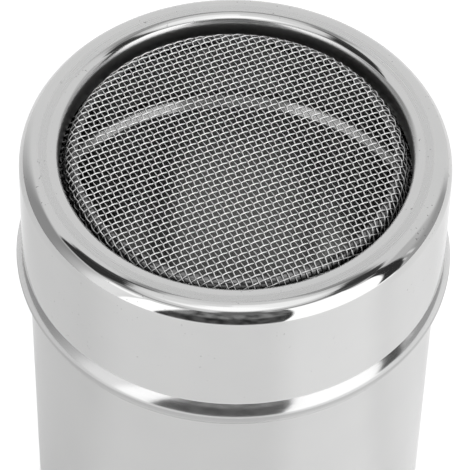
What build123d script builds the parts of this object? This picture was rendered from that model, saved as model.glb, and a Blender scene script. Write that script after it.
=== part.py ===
"""Mesh-top spice shaker: a drawn steel cup and the lift-off lid that holds its wire screen.

Millimetres, +Z up, origin at the middle of the standing ring, on the surface that the shaker stands on.
Every piece is bent from sheet and turned about Z: its line is the middle of the sheet, traced to thickness.
"""
import os
from math import sqrt

from build123d import *

# overall
total_height = 95.0
lid_height = 22.6

# lid shell: skirt, shoulder, flat ring and the collar round the opening
lid_sheet = 0.5
skirt_top_radius = 36.25
skirt_flare = 0.2
rim_width = 6.55
shoulder_radius = 3.25
throat_lip_radius = 1.3
collar_depth = 5.0

# woven screen, drawn as the plain skin that its wires fill, with a coarse grid in place of the fine weave
wire_diameter = 0.26
weave_thickness = 2 * wire_diameter
screen_top_depth = 1.25
screen_wall_clearance = 1.35
screen_wall_draft = 0.9
screen_fold_radius = 2.2
screen_foot_radius = 0.6
screen_flange_margin = 0.7
weave_heading = 27.0
openings_across = 12
opening_share = 0.76

# retaining ring pressed into the lid, and the hoop at its inner edge that the screen is stretched over
ring_sheet = 0.4
ring_bend_radius = 1.2
ring_hem_setback = 1.5
hoop_clearance = 0.05
hoop_lip_width = 1.3

# cup
cup_sheet = 0.5
slip_clearance = 0.15
neck_step = 0.13
bead_stand_out = 2.12
bead_height = 6.0
bead_blend_radius = 0.8
bead_stop_gap = 0.15
base_corner_radius = 4.0
standing_ring_width = 3.0
base_rise = 1.2
base_rise_run = 2.4
base_rise_blend = 2.0
mouth_gap = 1.2
curl_radius = 1.1
curl_width = 2.6
curl_return = 1.9

# levels that the pieces share
hem_level = total_height - lid_height
collar_level = total_height - collar_depth
ring_level = collar_level - weave_thickness
ring_hem_level = hem_level + ring_hem_setback
mouth_level = ring_level - ring_sheet - mouth_gap
bead_top_level = hem_level - bead_stop_gap
bead_bottom_level = bead_top_level - bead_height


def skirt_bore_at(level):
    """Inside radius of the flared skirt at a level."""
    depth = total_height - level
    return skirt_top_radius + skirt_flare * depth / lid_height - lid_sheet


# radii that the pieces share
throat_radius = skirt_top_radius - rim_width
ring_radius = skirt_bore_at(ring_level)
neck_radius = ring_radius - ring_sheet - slip_clearance
body_radius = neck_radius + neck_step
bead_radius = body_radius + bead_stand_out
screen_flange_radius = skirt_bore_at(collar_level) - screen_flange_margin
screen_wall_radius = throat_radius - screen_wall_clearance
opening_reach = screen_wall_radius - screen_fold_radius
opening_pitch = 2 * opening_reach / openings_across
opening_width = opening_share * opening_pitch
outermost_opening = opening_reach - opening_width / 2

# from either face of a sheet to its middle
half_cup_sheet = cup_sheet / 2
half_lid_sheet = lid_sheet / 2
half_weave = weave_thickness / 2
half_ring_sheet = ring_sheet / 2

# the middle of the screen's sheet, and the hoop's middle a fixed way inside it
screen_level = total_height - screen_top_depth - half_weave
flange_level = collar_level - half_weave
screen_wall_slope = screen_wall_draft / (screen_level - flange_level)
hoop_inset = half_weave + hoop_clearance + half_ring_sheet
hoop_level = screen_level - hoop_inset


def screen_wall_at(level):
    """Radius of the middle of the screen's sloping wall at a level."""
    return screen_wall_radius - half_weave + screen_wall_slope * (screen_level - level)


def hoop_wall_at(level):
    """Radius of the middle of the hoop's wall at a level."""
    return screen_wall_at(level) - hoop_inset * sqrt(1 + screen_wall_slope ** 2)


os.makedirs("parts", exist_ok=True)

# cup: raised base inside a standing ring, straight wall, bead, neck and the curl at the mouth
standing_ring_inside = body_radius - base_corner_radius - standing_ring_width
cup_wall = body_radius - half_cup_sheet
neck_wall = neck_radius - half_cup_sheet
curl_wall = neck_radius - curl_width + half_cup_sheet
with BuildPart() as body_cup:
    with BuildSketch(Plane.XZ):
        with BuildLine() as cup_line:
            base_and_wall = FilletPolyline(
                (0, base_rise + half_cup_sheet),
                (standing_ring_inside - base_rise_run, base_rise + half_cup_sheet),
                (standing_ring_inside, half_cup_sheet),
                (cup_wall, half_cup_sheet),
                (cup_wall, bead_bottom_level),
                radius=[base_rise_blend, base_rise_blend, base_corner_radius - half_cup_sheet],
            )
            bead = ThreePointArc(
                (cup_wall, bead_bottom_level),
                (bead_radius - half_cup_sheet, (bead_bottom_level + bead_top_level) / 2),
                (neck_wall, bead_top_level),
            )
            neck_and_curl = FilletPolyline(
                (neck_wall, bead_top_level),
                (neck_wall, mouth_level - half_cup_sheet),
                (curl_wall, mouth_level - half_cup_sheet),
                (curl_wall, mouth_level - curl_return),
                radius=curl_radius - half_cup_sheet,
            )
            lower_root = cup_line.vertices().sort_by_distance(bead @ 0)[0]
            upper_root = cup_line.vertices().sort_by_distance(bead @ 1)[0]
            fillet([lower_root, upper_root], bead_blend_radius)
        trace(line_width=cup_sheet)
    revolve(axis=Axis.Z)
body_cup.part.label = "body_cup"
export_step(body_cup.part, "parts/body_cup.step")

# lid shell: from the hem up the skirt, over the shoulder, across the flat ring and down the collar
collar_wall = throat_radius + half_lid_sheet
with BuildPart() as lid_shell:
    with BuildSketch(Plane.XZ):
        with BuildLine():
            FilletPolyline(
                (skirt_bore_at(hem_level) + half_lid_sheet, hem_level),
                (skirt_bore_at(total_height) + half_lid_sheet, total_height - half_lid_sheet),
                (collar_wall, total_height - half_lid_sheet),
                (collar_wall, collar_level),
                radius=[shoulder_radius - half_lid_sheet, throat_lip_radius - half_lid_sheet],
            )
        trace(line_width=lid_sheet)
    revolve(axis=Axis.Z)
lid_shell.part.label = "lid_shell"
export_step(lid_shell.part, "parts/lid_shell.step")

# screen: flat top just below the rim, sloping wall inside the throat, flange under the collar
with BuildPart() as wire_screen:
    with BuildSketch(Plane.XZ):
        with BuildLine():
            FilletPolyline(
                (0, screen_level),
                (screen_wall_at(screen_level), screen_level),
                (screen_wall_at(flange_level), flange_level),
                (screen_flange_radius, flange_level),
                radius=[screen_fold_radius - half_weave, screen_foot_radius + half_weave],
            )
        trace(line_width=weave_thickness)
    revolve(axis=Axis.Z)
    with BuildSketch(Plane.XY.offset(total_height).rotated((0, 0, weave_heading))):
        grid = GridLocations(opening_pitch, opening_pitch, openings_across, openings_across)
        inner_spots = [spot for spot in grid.local_locations if spot.position.length < outermost_opening]
        with Locations(*inner_spots):
            Rectangle(opening_width, opening_width)
    extrude(amount=-collar_depth, mode=Mode.SUBTRACT)
wire_screen.part.label = "wire_screen"
export_step(wire_screen.part, "parts/wire_screen.step")

# retaining ring: sleeve pressed into the skirt, flange that clamps the screen, and the hoop that stretches it
ring_flange_level = ring_level - half_ring_sheet
with BuildPart() as retaining_ring:
    with BuildSketch(Plane.XZ):
        with BuildLine():
            FilletPolyline(
                (skirt_bore_at(ring_hem_level) - half_ring_sheet, ring_hem_level),
                (ring_radius - half_ring_sheet, ring_flange_level),
                (hoop_wall_at(ring_flange_level), ring_flange_level),
                (hoop_wall_at(hoop_level), hoop_level),
                (hoop_wall_at(hoop_level) - hoop_lip_width, hoop_level),
                radius=[
                    ring_bend_radius - half_ring_sheet,
                    screen_foot_radius + weave_thickness,
                    screen_fold_radius - half_weave - hoop_inset,
                ],
            )
        trace(line_width=ring_sheet)
    revolve(axis=Axis.Z)
retaining_ring.part.label = "retaining_ring"
export_step(retaining_ring.part, "parts/retaining_ring.step")
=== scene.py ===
"""Mesh-top spice shaker: smooth drawn-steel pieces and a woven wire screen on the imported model."""
from math import atan2, cos, hypot, pi, radians, sin, sqrt, tan

import bpy
import numpy as np
from mathutils import Matrix, Vector


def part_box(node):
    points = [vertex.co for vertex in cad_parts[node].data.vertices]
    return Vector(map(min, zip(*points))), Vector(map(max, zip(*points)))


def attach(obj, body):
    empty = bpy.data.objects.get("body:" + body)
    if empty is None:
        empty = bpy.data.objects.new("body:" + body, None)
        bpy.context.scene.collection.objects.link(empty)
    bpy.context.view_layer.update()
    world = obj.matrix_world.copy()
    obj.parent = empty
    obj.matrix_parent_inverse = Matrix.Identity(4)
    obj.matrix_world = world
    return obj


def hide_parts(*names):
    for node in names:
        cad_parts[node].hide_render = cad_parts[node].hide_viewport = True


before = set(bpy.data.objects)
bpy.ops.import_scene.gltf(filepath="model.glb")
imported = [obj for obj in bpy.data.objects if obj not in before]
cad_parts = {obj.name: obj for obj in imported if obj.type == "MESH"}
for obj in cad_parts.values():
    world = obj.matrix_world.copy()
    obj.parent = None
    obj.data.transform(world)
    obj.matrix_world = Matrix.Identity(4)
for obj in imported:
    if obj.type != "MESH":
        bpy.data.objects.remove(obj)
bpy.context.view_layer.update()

mm = 0.001

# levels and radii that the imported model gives
lid_low, lid_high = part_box("lid_shell")
ring_low, ring_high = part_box("retaining_ring")
screen_low, screen_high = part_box("wire_screen")
cup_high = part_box("body_cup")[1]
total_height = lid_high.z
hem_level = lid_low.z
mouth_level = cup_high.z

# lid
lid_sheet = 0.5 * mm
skirt_flare = 0.2 * mm
skirt_top_radius = lid_high.x - skirt_flare
rim_width = 6.55 * mm
throat_radius = skirt_top_radius - rim_width
shoulder_radius = 3.25 * mm
throat_lip_width = 2.0 * mm
throat_lip_depth = 1.15 * mm
# level below which the collar wall is painted darker as shade
collar_shade_level = total_height - 2.7 * mm

# cup
cup_sheet = 0.5 * mm
bead_radius = cup_high.x
bead_stand_out = 2.12 * mm
body_radius = bead_radius - bead_stand_out
neck_step = 0.13 * mm
neck_radius = body_radius - neck_step
base_corner_radius = 4.0 * mm
standing_ring_width = 3.0 * mm
base_rise = 1.2 * mm
base_rise_run = 2.4 * mm
base_rise_blend = 2.0 * mm
curl_radius = 1.1 * mm
curl_width = 2.6 * mm
curl_return = 1.9 * mm

# bead round the cup, from its root on the wall up over the crest to the neck
bead_height = 6.0 * mm
bead_stop_gap = 0.15 * mm
bead_top_level = hem_level - bead_stop_gap
bead_foot_level = bead_top_level - bead_height
bead_crest_level = hem_level - 3.0 * mm
bead_root_radius = 1.0 * mm
bead_under_radius = 2.7 * mm
bead_under_slope = radians(48)
bead_crest_radius = 0.95 * mm
bead_crest_slope = radians(20)
bead_upper_radius = 4.95 * mm
bead_upper_slope = radians(47.5)
bead_edge_radius = 0.1 * mm
bead_neck_blend = 0.4 * mm

# woven screen
wire_diameter = 0.26 * mm
weave_thickness = 2 * wire_diameter
weft_diameter = wire_diameter
warp_diameter = 0.25 * mm
collar_level = screen_low.z + weave_thickness
screen_wall_clearance = 1.35 * mm
screen_wall_radius = throat_radius - screen_wall_clearance
screen_wall_draft = 0.9 * mm
screen_fold_radius = 2.2 * mm
screen_foot_radius = 0.6 * mm
clamped_wire_radius = 31.5 * mm
weft_pitch = 1.225 * mm
warp_pitch = 1.004 * mm
weft_heading = radians(27)
warp_heading = radians(115)
weft_crimp = 0.08 * mm
warp_crimp = 0.16 * mm

# how far the cloth is pulled askew and stretched, per metre, and how unevenly its wires lie beside each other
cloth_skew = 0.82
cloth_stretch = 0.55
wire_unevenness = 0.02 * mm
uneven_steps = (2.4, 5.3)

# ring inside the lid, with the hoop that the screen is stretched over
ring_sheet = 0.4 * mm
ring_taper = 0.08 * mm
ring_bend_radius = 1.2 * mm
hoop_clearance = 0.05 * mm
hoop_lip_width = 1.3 * mm

# the middle of the screen's sheet, and the hoop's middle a fixed way inside it
half_weave = weave_thickness / 2
screen_level = screen_high.z - half_weave
flange_level = screen_low.z + half_weave
screen_wall_slope = screen_wall_draft / (screen_level - flange_level)
hoop_inset = half_weave + hoop_clearance + ring_sheet / 2
hoop_level = screen_level - hoop_inset

# fineness of the meshes
round_steps = 192
bend_steps = 8
hold_distance = 0.15 * mm
merge_distance = 0.001 * mm
rounded_edge_angle = radians(50)
sharp_edge_angle = radians(40)
steps_between_wires = 4


def screen_wall_at(level):
    """Radius of the middle of the screen's sloping wall at a level."""
    return screen_wall_radius - half_weave + screen_wall_slope * (screen_level - level)


def hoop_wall_at(level):
    """Radius of the middle of the hoop's wall at a level."""
    return screen_wall_at(level) - hoop_inset * sqrt(1 + screen_wall_slope ** 2)


# ---------------------------------------------------------------- section lines, as (radius, level) points

def bend_points(before, corner, after, radius):
    """A tangent arc in place of a corner, with a close point on each side that keeps the straights true."""
    to_corner = (corner - before).normalized()
    from_corner = (after - corner).normalized()
    turn = to_corner.angle_signed(from_corner)
    setback = radius * tan(abs(turn) / 2)
    start = corner - to_corner * setback
    inward = Vector((-to_corner.y, to_corner.x)) if turn < 0 else Vector((to_corner.y, -to_corner.x))
    centre = start + inward * radius
    arc = []
    for step in range(bend_steps + 1):
        spoke = start - centre
        spoke.rotate(Matrix.Rotation(-turn * step / bend_steps, 2))
        arc.append(centre + spoke)
    hold_before = start - to_corner * min(hold_distance, ((corner - before).length - setback) / 2)
    hold_after = arc[-1] + from_corner * min(hold_distance, ((after - corner).length - setback) / 2)
    return [hold_before, *arc, hold_after]


def section_line(corners, bends):
    """The line through the corners, each inner one rounded to its bend radius."""
    corners = [Vector(corner) for corner in corners]
    line = [corners[0]]
    for before, corner, after, radius in zip(corners, corners[1:], corners[2:], bends):
        line += bend_points(before, corner, after, radius)
    return line + [corners[-1]]


def arc_line(centre, width, depth, angle_from, angle_to, steps):
    """Points round an ellipse, between two angles from its outward side."""
    line = []
    for step in range(steps + 1):
        angle = angle_from + (angle_to - angle_from) * step / steps
        line.append(Vector((centre[0] + width * cos(angle), centre[1] + depth * sin(angle))))
    return line


def swept_line(start, parts):
    """A smooth line that leaves its start upright. Each part is an arc's radius, negative where it is hollow,
    the face's slope at its end, and the length of the straight that follows."""
    line, slope = [start], 0.0
    for radius, slope_to, straight in parts:
        centre = line[-1] - radius * Vector((cos(slope), sin(slope)))
        line += arc_line(centre, radius, radius, slope, slope_to, bend_steps)[1:]
        if straight:
            line.append(line[-1] + straight * Vector((-sin(slope_to), cos(slope_to))))
        slope = slope_to
    return line


# ---------------------------------------------------------------- meshes

def edit_mode():
    bpy.ops.object.mode_set(mode="EDIT")


def object_mode():
    bpy.ops.object.mode_set(mode="OBJECT")


def apply_modifier(piece, kind, **settings):
    modifier = piece.modifiers.new(kind.title(), kind)
    for name, value in settings.items():
        setattr(modifier, name, value)
    bpy.ops.object.modifier_apply(modifier=modifier.name)


def drawn_sheet(name, line, sheet):
    """A round pressing: a ring of edges drawn out along the section line, and then given its thickness."""
    bpy.ops.object.select_all(action="DESELECT")
    bpy.ops.mesh.primitive_circle_add(vertices=round_steps, radius=line[0].x, location=(0, 0, line[0].y))
    piece = bpy.context.object
    piece.name = name
    bpy.ops.object.transform_apply(location=True, rotation=True, scale=True)
    edit_mode()
    for here, there in zip(line, line[1:]):
        bpy.ops.mesh.extrude_region_move(TRANSFORM_OT_translate={"value": (0, 0, there.y - here.y)})
        reach = there.x / here.x
        bpy.ops.transform.resize(value=(reach, reach, 1), center_override=(0, 0, 0))
        if there.x == 0:
            bpy.ops.mesh.merge(type="CENTER")
    bpy.ops.mesh.select_all(action="SELECT")
    bpy.ops.mesh.remove_doubles(threshold=merge_distance)
    bpy.ops.mesh.normals_make_consistent(inside=False)
    object_mode()
    apply_modifier(piece, "SOLIDIFY", thickness=sheet, offset=0, use_even_offset=True)
    rounded_edges = {"segments": 2, "limit_method": "ANGLE", "angle_limit": rounded_edge_angle}
    apply_modifier(piece, "BEVEL", width=sheet / 5, **rounded_edges)
    bpy.ops.object.shade_smooth_by_angle(angle=sharp_edge_angle)
    return piece


def finish_piece(piece, body, node, material):
    piece.data.materials.clear()
    piece.data.materials.append(material)
    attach(piece, body)
    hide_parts(node)


# ---------------------------------------------------------------- material nodes

def new_material(name):
    material = bpy.data.materials.new(name)
    material.use_nodes = True
    return material, material.node_tree


def link_or_set(tree, socket, value):
    if isinstance(value, bpy.types.NodeSocket):
        tree.links.new(value, socket)
    else:
        socket.default_value = value


def calculate(tree, operation, *values):
    node = tree.nodes.new("ShaderNodeMath")
    node.operation = operation
    for socket, value in zip(node.inputs, values):
        link_or_set(tree, socket, value)
    return node.outputs[0]


def add(tree, total, *values):
    for value in values:
        total = calculate(tree, "ADD", total, value)
    return total


def multiply(tree, product, *values):
    for value in values:
        product = calculate(tree, "MULTIPLY", product, value)
    return product


def ramp(tree, value, low, high, to_low=0.0, to_high=1.0):
    """A soft step from one value to another, as the input goes from low to high."""
    node = tree.nodes.new("ShaderNodeMapRange")
    node.interpolation_type = "SMOOTHSTEP"
    for socket, given in zip(node.inputs, (value, low, high, to_low, to_high)):
        link_or_set(tree, socket, given)
    return node.outputs[0]


def between(tree, value, low, high, soft):
    """1 between two limits and 0 outside them, with soft edges."""
    past_low = ramp(tree, calculate(tree, "SUBTRACT", value, low), -soft, soft)
    past_high = ramp(tree, calculate(tree, "SUBTRACT", value, high), -soft, soft)
    return calculate(tree, "SUBTRACT", past_low, past_high)


def combine(tree, *values):
    node = tree.nodes.new("ShaderNodeCombineXYZ")
    for socket, value in zip(node.inputs, values):
        link_or_set(tree, socket, value)
    return node.outputs[0]


def separate(tree, vector):
    node = tree.nodes.new("ShaderNodeSeparateXYZ")
    tree.links.new(vector, node.inputs[0])
    return node.outputs


def noise(tree, vector, size, detail=2.0):
    """Soft noise from 0 to 1 whose blotches are about a size across."""
    node = tree.nodes.new("ShaderNodeTexNoise")
    tree.links.new(vector, node.inputs["Vector"])
    node.inputs["Scale"].default_value = 1 / size
    node.inputs["Detail"].default_value = detail
    return node.outputs["Fac"]


def round_coordinates(tree):
    """A place on a turned piece: its point, that point's three parts, its radius, and how far the surface
    faces outward and upward."""
    coordinates = tree.nodes.new("ShaderNodeTexCoord")
    point = coordinates.outputs["Object"]
    x, y, z = separate(tree, point)
    radius = calculate(tree, "SQRT", add(tree, multiply(tree, x, x), multiply(tree, y, y)))
    normal_x, normal_y, upward = separate(tree, coordinates.outputs["Normal"])
    along_radius = add(tree, multiply(tree, x, normal_x), multiply(tree, y, normal_y))
    outward = calculate(tree, "DIVIDE", along_radius, radius)
    return point, x, y, z, radius, outward, upward


def turned_grain(tree, x, y, z, radius, width, length):
    """Noise drawn out round the axis: lines a width across and about a length long."""
    across = calculate(tree, "DIVIDE", calculate(tree, "SUBTRACT", radius, z), width)
    turn_x = calculate(tree, "DIVIDE", calculate(tree, "DIVIDE", x, radius), length / body_radius)
    turn_y = calculate(tree, "DIVIDE", calculate(tree, "DIVIDE", y, radius), length / body_radius)
    return noise(tree, combine(tree, across, turn_x, turn_y), size=1.0, detail=3.0)


def mix_color(tree, share, first, second):
    node = tree.nodes.new("ShaderNodeMix")
    node.data_type = "RGBA"
    link_or_set(tree, node.inputs["Factor"], share)
    color_sockets = (node.inputs[6], node.inputs[7])
    for socket, value in zip(color_sockets, (first, second)):
        link_or_set(tree, socket, value if isinstance(value, bpy.types.NodeSocket) else (*value, 1))
    return node.outputs[2]


def add_bump(tree, shader, height, distance):
    node = tree.nodes.new("ShaderNodeBump")
    tree.links.new(height, node.inputs["Height"])
    node.inputs["Distance"].default_value = distance
    node.inputs["Strength"].default_value = 1.0
    tree.links.new(node.outputs[0], shader.inputs["Normal"])


def steel_shader(name):
    material, tree = new_material(name)
    shader = tree.nodes["Principled BSDF"]
    shader.inputs["Metallic"].default_value = 1
    return material, tree, shader


# ---------------------------------------------------------------- finishes

# steel colours, as (clean, hazed) pairs or singly
cup_outside_colors = ((0.60, 0.60, 0.60), (0.65, 0.65, 0.645))
# inside the cup: a duller finish, its colour also darkened as painted shade
cup_inside_shaded_colors = ((0.53, 0.53, 0.525), (0.57, 0.57, 0.565))
# painted shade in the bead's hollow inside the cup, and just below it
painted_hollow_shade_color = (0.50, 0.50, 0.495)
painted_below_hollow_shade_color = (0.50, 0.50, 0.50)
# painted shade round the bead's crest and painted highlight on its upper slope
painted_crest_shade_color = (0.50, 0.50, 0.50)
painted_slope_highlight_color = (0.67, 0.67, 0.67)
lid_colors = ((0.63, 0.63, 0.63), (0.68, 0.68, 0.675))
lid_pit_color = (0.30, 0.30, 0.30)
lid_hem_color = (0.75, 0.75, 0.75)
# painted shade on the collar wall low down
painted_collar_shade_color = (0.60, 0.60, 0.60)
# the ring painted near black as shade, deep under the screen
painted_ring_shade_colors = ((0.16, 0.16, 0.16), (0.20, 0.20, 0.20))
# painted shade on the wires at the screen's foot
painted_wire_foot_shade_color = (0.26, 0.26, 0.26)

# the values of a noise between which what it steers goes from low to high
haze_span = (0.35, 0.7)
noise_span = (0.3, 0.7)


def polished_cup_steel():
    """Polished outside, faint drawing lines, handling haze, painted shade and highlight on the bead; duller
    mill finish inside, also darkened as painted shade.
    """
    material, tree, shader = steel_shader("polished_cup_steel")
    point, x, y, z, radius, outward, upward = round_coordinates(tree)
    grain = turned_grain(tree, x, y, z, radius, width=0.25 * mm, length=12 * mm)
    haze = noise(tree, point, size=14 * mm, detail=3.0)
    fine = noise(tree, point, size=0.35 * mm)

    # painted shade inside the cup, in the bead's hollow there and just below it
    wall_inside = ramp(tree, outward, -0.1, 0.0, 1.0, 0.0)
    near_base = ramp(tree, z, 3 * mm, 6 * mm, 1.0, 0.0)
    floor_inside = multiply(tree, near_base, ramp(tree, upward, 0.4, 0.6))
    inside = calculate(tree, "MAXIMUM", wall_inside, floor_inside)
    hollow = between(tree, z, bead_foot_level + 0.1 * mm, bead_top_level + 0.25 * mm, 0.25 * mm)
    below_hollow = between(tree, z, bead_foot_level - 1.6 * mm, bead_foot_level - 0.15 * mm, 0.3 * mm)
    dull = mix_color(tree, haze, *cup_inside_shaded_colors)
    dull = mix_color(tree, below_hollow, dull, painted_below_hollow_shade_color)
    dull = mix_color(tree, hollow, dull, painted_hollow_shade_color)

    # on the bead, painted shade round its crest and painted highlight on its upper slope, by how far it faces
    # upward
    outside = calculate(tree, "SUBTRACT", 1.0, inside)
    on_bead = multiply(tree, between(tree, z, bead_foot_level + 0.3 * mm, hem_level, 0.3 * mm), outside)
    crest_shade = multiply(tree, on_bead, ramp(tree, upward, -0.7, 0.15))
    slope_highlight = multiply(tree, on_bead, ramp(tree, upward, 0.28, 0.40))
    bright = mix_color(tree, haze, *cup_outside_colors)
    bright = mix_color(tree, crest_shade, bright, painted_crest_shade_color)
    bright = mix_color(tree, slope_highlight, bright, painted_slope_highlight_color)

    tree.links.new(mix_color(tree, inside, bright, dull), shader.inputs["Base Color"])
    tree.links.new(ramp(tree, on_bead, 0.0, 1.0, 1.0, 0.9), shader.inputs["Metallic"])
    roughness = add(
        tree,
        ramp(tree, haze, *haze_span, to_low=0.07, to_high=0.12),
        ramp(tree, grain, *noise_span, to_low=0.0, to_high=0.05),
        multiply(tree, inside, 0.02),
        multiply(tree, hollow, inside, 0.02),
        multiply(tree, on_bead, 0.03),
    )
    tree.links.new(roughness, shader.inputs["Roughness"])
    add_bump(tree, shader, add(tree, grain, multiply(tree, fine, 0.5)), distance=0.0012 * mm)
    return material


def satin_lid_steel():
    """Mirror-like skirt, shoulder and lip; satin turned grain with fine pits on the flat rim; rougher inside,
    with painted shade low on the collar wall.
    """
    material, tree, shader = steel_shader("satin_lid_steel")
    point, x, y, z, radius, outward, upward = round_coordinates(tree)
    grain = turned_grain(tree, x, y, z, radius, width=0.22 * mm, length=9 * mm)
    haze = noise(tree, point, size=12 * mm, detail=3.0)
    fine = noise(tree, point, size=0.3 * mm, detail=3.0)

    rim = ramp(tree, upward, 0.9985, 0.99985)
    here_and_there = ramp(tree, noise(tree, point, size=7 * mm, detail=1.0), 0.5, 0.62)
    pits = ramp(tree, noise(tree, point, size=0.55 * mm, detail=1.0), 0.71, 0.75)
    pits = multiply(tree, pits, here_and_there)
    hem = ramp(tree, z, hem_level + 0.15 * mm, hem_level + 0.5 * mm, 1.0, 0.0)
    # painted shade: the collar wall's colour darkened low down, where it faces inward
    low_down = ramp(tree, z, collar_shade_level - 0.3 * mm, collar_shade_level + 0.3 * mm, 1.0, 0.0)
    collar = multiply(tree, ramp(tree, outward, -0.6, -0.9), low_down)

    color = mix_color(tree, haze, *lid_colors)
    color = mix_color(tree, multiply(tree, pits, 0.7), color, lid_pit_color)
    color = mix_color(tree, multiply(tree, hem, 0.5), color, lid_hem_color)
    color = mix_color(tree, collar, color, painted_collar_shade_color)
    tree.links.new(color, shader.inputs["Base Color"])
    roughness = add(
        tree,
        ramp(tree, haze, *haze_span, to_low=0.03, to_high=0.06),
        ramp(tree, grain, *noise_span, to_low=0.0, to_high=0.03),
        multiply(tree, rim, ramp(tree, grain, 0.2, 0.8, to_low=0.19, to_high=0.27)),
        multiply(tree, hem, 0.15),
        ramp(tree, outward, -0.5, -0.9, to_low=0.0, to_high=0.3),
    )
    tree.links.new(roughness, shader.inputs["Roughness"])
    relief = add(tree, grain, multiply(tree, fine, 0.7), multiply(tree, pits, -3.0))
    add_bump(tree, shader, multiply(tree, relief, add(tree, 0.2, rim)), distance=0.002 * mm)
    return material


def painted_shade_ring_steel():
    """Plain sheet, its colour painted near black as shade deep under the screen: even, slightly dull, with a
    faint turned grain.
    """
    material, tree, shader = steel_shader("painted_shade_ring_steel")
    point, x, y, z, radius = round_coordinates(tree)[:5]
    grain = turned_grain(tree, x, y, z, radius, width=0.3 * mm, length=6 * mm)
    haze = noise(tree, point, size=6 * mm, detail=3.0)
    tree.links.new(mix_color(tree, haze, *painted_ring_shade_colors), shader.inputs["Base Color"])
    tree.links.new(ramp(tree, grain, 0.25, 0.75, to_low=0.06, to_high=0.11), shader.inputs["Roughness"])
    add_bump(tree, shader, grain, distance=0.002 * mm)
    return material


def drawn_wire(name, dull, bright):
    """Drawn wire, each stretch a little cleaner or duller than the next, with painted shade low down at the
    screen's foot.
    """
    material, tree, shader = steel_shader(name)
    point = tree.nodes.new("ShaderNodeTexCoord").outputs["Object"]
    patches = noise(tree, point, size=2.5 * mm, detail=3.0)
    fine = noise(tree, point, size=0.12 * mm)
    drawn = mix_color(tree, patches, (dull, dull, dull), (bright, bright, bright))
    level = separate(tree, point)[2]
    # painted shade on the wires low down at the screen's foot
    foot = ramp(tree, level, screen_high.z - 1.5 * mm, screen_high.z - 0.5 * mm, 1.0, 0.0)
    tree.links.new(mix_color(tree, foot, drawn, painted_wire_foot_shade_color), shader.inputs["Base Color"])
    tree.links.new(ramp(tree, fine, *noise_span, to_low=0.10, to_high=0.22), shader.inputs["Roughness"])
    add_bump(tree, shader, fine, distance=0.002 * mm)
    return material


# ---------------------------------------------------------------- pieces

def make_cup(material):
    half = cup_sheet / 2
    wall = body_radius - half
    neck = neck_radius - half
    ring_inside = body_radius - base_corner_radius - standing_ring_width
    curl = neck_radius - curl_width + half
    # the bead, from the wall below, round its crest and in to the neck under the lid
    rise = (bead_root_radius + bead_under_radius) * (1 - cos(bead_under_slope))
    under_straight = (bead_stand_out - rise) / sin(bead_under_slope)
    bead = swept_line(
        Vector((wall, 0)),
        [
            (-bead_root_radius, -bead_under_slope, under_straight),
            (bead_under_radius, 0.0, 0.0),
            (bead_crest_radius, bead_crest_slope, 0.0),
            (bead_upper_radius, bead_upper_slope, 0.0),
            (bead_edge_radius, pi / 2, 0.0),
        ],
    )
    crest = max(bead, key=lambda point: point.x)
    bead = [point + Vector((0, bead_crest_level - crest.y)) for point in bead]
    neck_centre = Vector((neck + bead_neck_blend, bead[-1].y + bead_neck_blend))
    bead += arc_line(neck_centre, bead_neck_blend, bead_neck_blend, 1.5 * pi, pi, bend_steps)
    base = section_line(
        [
            (0, base_rise + half),
            (ring_inside - base_rise_run, base_rise + half),
            (ring_inside, half),
            (wall, half),
            (wall, bead[0].y - hold_distance),
        ],
        [base_rise_blend, base_rise_blend, base_corner_radius - half],
    )
    mouth = section_line(
        [
            (neck, bead[-1].y + hold_distance),
            (neck, mouth_level - half),
            (curl, mouth_level - half),
            (curl, mouth_level - curl_return),
        ],
        [curl_radius - half, curl_radius - half],
    )
    line = base + bead + mouth
    cup = drawn_sheet("drawn_cup", line[::-1], cup_sheet)
    finish_piece(cup, "cup", "body_cup", material)


def make_lid(material):
    half = lid_sheet / 2
    lip_start = throat_radius + throat_lip_width
    skirt_and_rim = section_line(
        [
            (lid_high.x - half, hem_level + hold_distance),
            (skirt_top_radius - half, total_height - half),
            (lip_start + hold_distance, total_height - half),
        ],
        [shoulder_radius - half],
    )
    lip_centre = (lip_start, total_height - throat_lip_depth)
    lip = arc_line(lip_centre, throat_lip_width - half, throat_lip_depth - half, pi / 2, pi, 2 * bend_steps)
    collar_wall = throat_radius + half
    collar = [Vector((collar_wall, lip[-1].y - hold_distance)), Vector((collar_wall, collar_level))]
    hem = [Vector((lid_high.x - half, hem_level))]
    lid = drawn_sheet("pressed_lid", hem + skirt_and_rim + lip + collar, lid_sheet)
    finish_piece(lid, "lid", "lid_shell", material)


def make_retaining_ring(material):
    half = ring_sheet / 2
    flange = screen_low.z - half
    line = section_line(
        [
            (ring_high.x - half, ring_low.z),
            (ring_high.x - ring_taper - half, flange),
            (hoop_wall_at(flange), flange),
            (hoop_wall_at(hoop_level), hoop_level),
            (hoop_wall_at(hoop_level) - hoop_lip_width, hoop_level),
        ],
        [
            ring_bend_radius - half,
            screen_foot_radius + weave_thickness,
            screen_fold_radius - half_weave - hoop_inset,
        ],
    )
    ring = drawn_sheet("clamp_ring", line, ring_sheet)
    finish_piece(ring, "lid", "retaining_ring", material)


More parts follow.
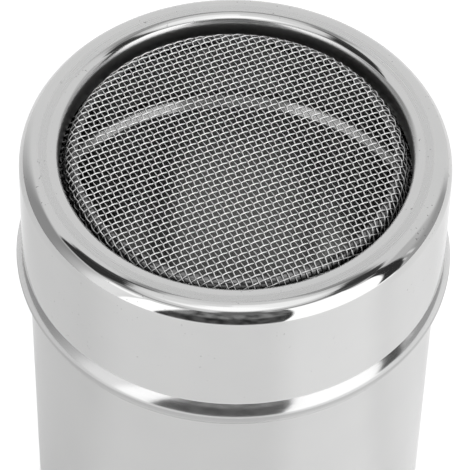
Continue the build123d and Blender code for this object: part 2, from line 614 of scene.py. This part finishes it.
def make_wires(weft_material, warp_material):
    line = section_line(
        [
            (0, screen_level),
            (screen_wall_at(screen_level), screen_level),
            (screen_wall_at(flange_level), flange_level),
            (clamped_wire_radius, flange_level),
        ],
        [screen_fold_radius - half_weave, screen_foot_radius + half_weave],
    )
    reach = [0.0]
    for here, there in zip(line, line[1:]):
        reach.append(reach[-1] + (there - here).length)
    radii = [point.x for point in line]
    levels = [point.y for point in line]
    slopes = [atan2(there.y - here.y, there.x - here.x) for here, there in zip(line, line[1:])]
    middles = [(here + there) / 2 for here, there in zip(reach, reach[1:])]

    def formed(flat, lift):
        """Where a point of the flat cloth comes to lie once the cloth is pulled and pressed over the hoop."""
        pulled_x = flat.x + cloth_skew * flat.y ** 2
        pulled_y = flat.y - cloth_skew * flat.x ** 2 - cloth_stretch * flat.y ** 2
        distance = hypot(pulled_x, pulled_y)
        slope = np.interp(distance, middles, slopes)
        radius = np.interp(distance, reach, radii) - lift * sin(slope)
        level = np.interp(distance, reach, levels) + lift * cos(slope)
        share = radius / distance if distance else 0
        return (pulled_x * share, pulled_y * share, level)

    def weave(name, diameter, heading, pitch, crossing_heading, crossing_pitch, crimp, material):
        along = Vector((cos(heading), sin(heading)))
        side = Vector((-along.y, along.x))
        cross_side = Vector((-sin(crossing_heading), cos(crossing_heading)))
        curve = bpy.data.curves.new(name, "CURVE")
        curve.dimensions = "3D"
        curve.bevel_depth = diameter / 2
        curve.bevel_resolution = 1
        curve.use_fill_caps = True
        step = crossing_pitch / abs(along.dot(cross_side)) / steps_between_wires
        count = int(reach[-1] / pitch)
        for number in range(-count, count + 1):
            offset = number * pitch
            half_length = sqrt(max(reach[-1] ** 2 - offset ** 2, 0))
            steps = int(half_length / step)
            if steps < steps_between_wires:
                continue
            spline = curve.splines.new("POLY")
            spline.points.add(2 * steps)
            uneven = wire_unevenness * sum(sin(step_on * number) for step_on in uneven_steps)
            for index, point in enumerate(spline.points):
                flat = side * offset + along * (index - steps) * step
                phase = pi * (flat.dot(cross_side) / crossing_pitch + number)
                point.co = (*formed(flat + side * uneven, crimp * cos(phase)), 1)
        wires = bpy.data.objects.new(name, curve)
        bpy.context.scene.collection.objects.link(wires)
        bpy.ops.object.select_all(action="DESELECT")
        bpy.context.view_layer.objects.active = wires
        wires.select_set(True)
        bpy.ops.object.convert(target="MESH")
        bpy.ops.object.shade_smooth()
        finish_piece(wires, "lid", "wire_screen", material)

    weft_set = (weft_heading, weft_pitch)
    warp_set = (warp_heading, warp_pitch)
    weave("weft_wires", weft_diameter, *weft_set, *warp_set, weft_crimp, weft_material)
    weave("warp_wires", warp_diameter, *warp_set, *weft_set, -warp_crimp, warp_material)


# ---------------------------------------------------------------- studio
# Azimuths are in degrees round the shaker: 0 in front, + to the right.

# the floor: its own glow to the eye and to the steel, and patches of another glow, each with its brightness,
# the azimuths that it lies between, and its softness
floor_radius = 0.6
floor_gap = 0.02 * mm
floor_color = (0.8, 0.8, 0.8)
floor_seen_glow = 0.6
floor_mirrored_glow = 0.33
floor_patches = (
    (0.46, 24, 70, 10),
    (0.38, 78, 108, 9),
    (0.37, 125, 165, 12),
    (0.20, -130, -60, 15),
)

# the room's light, and the mottling of the dark strip in front, in degrees across and up
room_light = 0.88
mottle_width = 5.0
mottle_height = 26.0
mottle_slice = 3.7

# the dark strip in front: its azimuths, and its lean
front_strip = (-33, 24)
front_lean = 0.17

# what the steel mirrors: brightness, azimuths, the elevations of the lower and of the upper edge at those two
# azimuths, softness across and up, and the degrees of azimuth that the sides lean per degree up
cards = (
    # ceiling
    (1.00, (-400, 400), (71, 71), (200, 200), (1, 3), 0),
    (1.28, (-75, 190), (72, 72), (200, 200), (12, 3), 0),
    (1.50, (-50, 55), (74, 74), (200, 200), (12, 4), 0),
    (1.50, (-400, 400), (84, 84), (200, 200), (1, 3), 0),
    # walls
    (0.37, (-128, -76), (-20, -20), (42, 42), (18, 5), 0),
    (0.64, (82, 116), (-20, -20), (52, 52), (5, 3), 0),
    (0.43, (82, 122), (-20, -20), (22, 22), (7, 12), 0),
    # dark arches high up at the back, left and right, with their tails
    (0.38, (-184, -158), (51, 63), (56, 68), (3, 1.5), 0),
    (0.07, (-162, -118), (65, 57), (68, 71), (5, 1.5), 0),
    (0.04, (-124, -100), (58, 43), (71, 70), (3, 2), 0),
    (0.04, (-103, -74), (44, 46), (70, 64), (4, 2), 0),
    (0.26, (-76, -58), (48, 53), (63, 61), (6, 3), 0),
    (0.40, (-62, -26), (55, 57), (60, 61), (6, 2), 0),
    (0.43, (160, 184), (59, 50), (65, 56), (3, 1.5), 0),
    (0.26, (138, 164), (62, 60), (67, 64), (5, 1.5), 0),
    (0.06, (118, 142), (59.5, 64), (69, 68), (3, 1.2), 0),
    (0.13, (64, 89), (56, 52), (65, 67), (4, 2), 0),
    (0.42, (26, 68), (59, 59), (65, 65), (3, 2), 0),
    # white cards in front, left and right
    (1.10, (-68, -48), (-20, -20), (44, 46), (6, 3), 0),
    (1.45, (-66, -48), (38, 38), (46, 49), (2.5, 2), 0),
    (1.60, (-50, -33), (-20, -20), (47, 51), (1.2, 1.5), 0.12),
    (1.60, (24, 62), (-60, -60), (59, 57), (1, 1.5), 0.15),
    (1.60, (54, 78), (-60, -60), (57, 44), (2, 1.5), 0.08),
    # dark strip at the right, the arch that it runs into, and the thin bright lines in it
    (0.04, (68.5, 81.5), (-5, -5), (50, 50), (1.0, 2), 0.22),
    (0.05, (87, 100), (44, 55.5), (69, 69), (1.5, 1), 0),
    (0.05, (99, 122), (55.5, 59.5), (69, 69), (1.5, 1), 0),
    (0.95, (84.0, 85.2), (6, 6), (16, 16), (0.6, 2), 0),
    (0.95, (88.5, 91), (8, 8), (23, 23), (1, 2), 0),
    # dark strip in front, its top and its darker lower part
    (0.19, front_strip, (-6, -6), (58, 58), (1, 3), front_lean),
    (0.19, (-20, 12), (50, 50), (68, 68), (5, 3), front_lean),
    (0.07, front_strip, (-6, -6), (27, 27), (1, 6), front_lean),
)


def azimuth_of(tree, x, y):
    return calculate(tree, "DEGREES", calculate(tree, "ARCTAN2", x, multiply(tree, y, -1.0)))


def blend_light(tree, light, brightness, mask):
    change = multiply(tree, mask, calculate(tree, "SUBTRACT", brightness, light))
    return add(tree, light, change)


def make_floor():
    """A pale table top that keeps the shadow and glows a little, more in front of the right-hand soft box."""
    bpy.ops.object.select_all(action="DESELECT")
    place = (0, 0, -floor_gap)
    bpy.ops.mesh.primitive_circle_add(vertices=64, radius=floor_radius, fill_type="NGON", location=place)
    floor = bpy.context.object
    floor.name = "floor"
    material, tree = new_material("pale_floor")
    tree.nodes.remove(tree.nodes["Principled BSDF"])
    diffuse = tree.nodes.new("ShaderNodeBsdfDiffuse")
    diffuse.inputs["Color"].default_value = (*floor_color, 1)
    x, y = separate(tree, tree.nodes.new("ShaderNodeTexCoord").outputs["Object"])[:2]
    azimuth = azimuth_of(tree, x, y)
    shine = floor_mirrored_glow
    for brightness, azimuth_from, azimuth_to, soft in floor_patches:
        shine = blend_light(tree, shine, brightness, between(tree, azimuth, azimuth_from, azimuth_to, soft))
    glow = tree.nodes.new("ShaderNodeEmission")
    rays = tree.nodes.new("ShaderNodeLightPath")
    seen = multiply(tree, rays.outputs["Is Camera Ray"], floor_seen_glow)
    mirrored = multiply(tree, rays.outputs["Is Glossy Ray"], shine)
    tree.links.new(add(tree, seen, mirrored), glow.inputs["Strength"])
    both = tree.nodes.new("ShaderNodeAddShader")
    tree.links.new(diffuse.outputs[0], both.inputs[0])
    tree.links.new(glow.outputs[0], both.inputs[1])
    tree.links.new(both.outputs[0], tree.nodes["Material Output"].inputs["Surface"])
    floor.data.materials.append(material)


def make_world():
    """A white room with soft boxes and dark cards, each placed by azimuth and elevation."""
    world = bpy.data.worlds.new("studio")
    bpy.context.scene.world = world
    world.use_nodes = True
    tree = world.node_tree
    background = tree.nodes["Background"]
    x, y, z = separate(tree, tree.nodes.new("ShaderNodeTexCoord").outputs["Generated"])
    azimuth = azimuth_of(tree, x, y)
    elevation = calculate(tree, "DEGREES", calculate(tree, "ARCSINE", z))
    across = calculate(tree, "DIVIDE", azimuth, mottle_width)
    up = calculate(tree, "DIVIDE", elevation, mottle_height)
    mottle = noise(tree, combine(tree, across, up, mottle_slice), size=1.0)
    mottle = ramp(tree, mottle, *noise_span, to_low=0.4, to_high=1.7)
    light = room_light
    for brightness, azimuths, lower, upper, (soft_across, soft_up), lean in cards:
        leaning = calculate(tree, "SUBTRACT", azimuth, multiply(tree, elevation, lean))
        lower_edge = ramp(tree, leaning, *azimuths, *lower)
        upper_edge = ramp(tree, leaning, *azimuths, *upper)
        mask = between(tree, leaning, *azimuths, soft_across)
        mask = multiply(tree, mask, between(tree, elevation, lower_edge, upper_edge, soft_up))
        if azimuths == front_strip:
            brightness = multiply(tree, mottle, brightness)
        light = blend_light(tree, light, brightness, mask)
    seen = tree.nodes.new("ShaderNodeLightPath").outputs["Is Camera Ray"]
    unseen = calculate(tree, "SUBTRACT", 1.0, seen)
    tree.links.new(add(tree, multiply(tree, light, unseen), seen), background.inputs["Strength"])
    background.inputs["Color"].default_value = (1, 1, 1, 1)


def make_camera():
    """A long lens that looks down on the lid from in front."""
    elevation = radians(50.03)
    roll = radians(1.57)
    distance = 0.5201
    aim_below_rim = 22.68 * mm
    side_shift = 0.21 * mm
    camera_data = bpy.data.cameras.new("camera")
    camera_data.sensor_width = 36
    camera_data.lens = 231.3
    camera_data.clip_start = 0.01
    camera = bpy.data.objects.new("camera", camera_data)
    bpy.context.scene.collection.objects.link(camera)
    turn = Matrix.Rotation(pi / 2 - elevation, 4, "X") @ Matrix.Rotation(roll, 4, "Z")
    aim = Vector((0, 0, total_height - aim_below_rim))
    back_and_right = turn @ Vector((side_shift, 0, distance))
    camera.matrix_world = Matrix.Translation(aim + back_and_right) @ turn
    bpy.context.scene.camera = camera


bpy.context.scene.view_settings.view_transform = "Standard"
make_cup(polished_cup_steel())
make_lid(satin_lid_steel())
make_retaining_ring(painted_shade_ring_steel())
# the same drawn wire in two copies: the wefts painted lighter as highlight, the warps painted darker as shade
make_wires(
    drawn_wire("weft_wire_painted_lighter", dull=0.85, bright=0.95),
    drawn_wire("warp_wire_painted_darker", dull=0.72, bright=0.82),
)
make_floor()
make_world()
make_camera()
